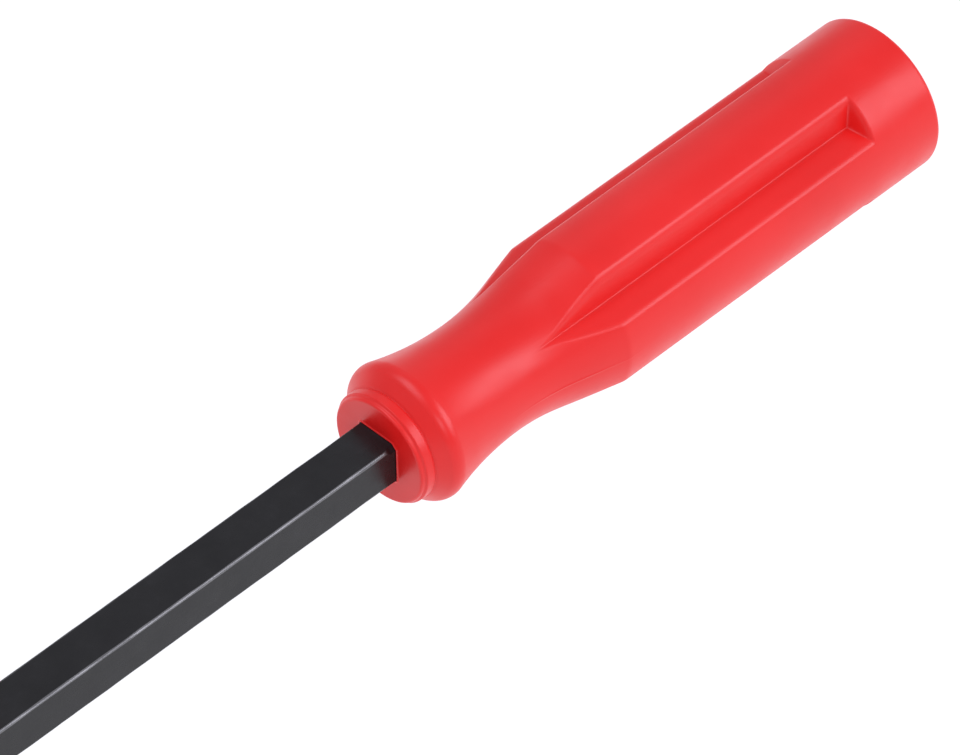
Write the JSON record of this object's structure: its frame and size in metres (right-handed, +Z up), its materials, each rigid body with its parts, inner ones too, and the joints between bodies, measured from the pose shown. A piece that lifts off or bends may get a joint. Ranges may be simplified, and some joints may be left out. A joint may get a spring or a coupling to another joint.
{
  "type": "pry bar",
  "caption": "Hand pry bar: a square steel bar bent down to a chisel tip, moulded into a fluted round plastic handle with a narrow neck and a collar.",
  "frame": {"origin": "centre of the butt face, on the handle's axis", "axes": "+X out of the butt face along the handle, so the tip points toward -X; +Z up, away from the side that the tip bends to; +Y across the bar"},
  "size_m": [0.305, 0.0356, 0.0356],
  "materials": {
    "bar": "satin black",
    "handle": "smooth red, between satin and gloss"
  },
  "bodies": {
    "root": {"bar": "bar", "handle": "handle"}
  },
  "joints": []
}
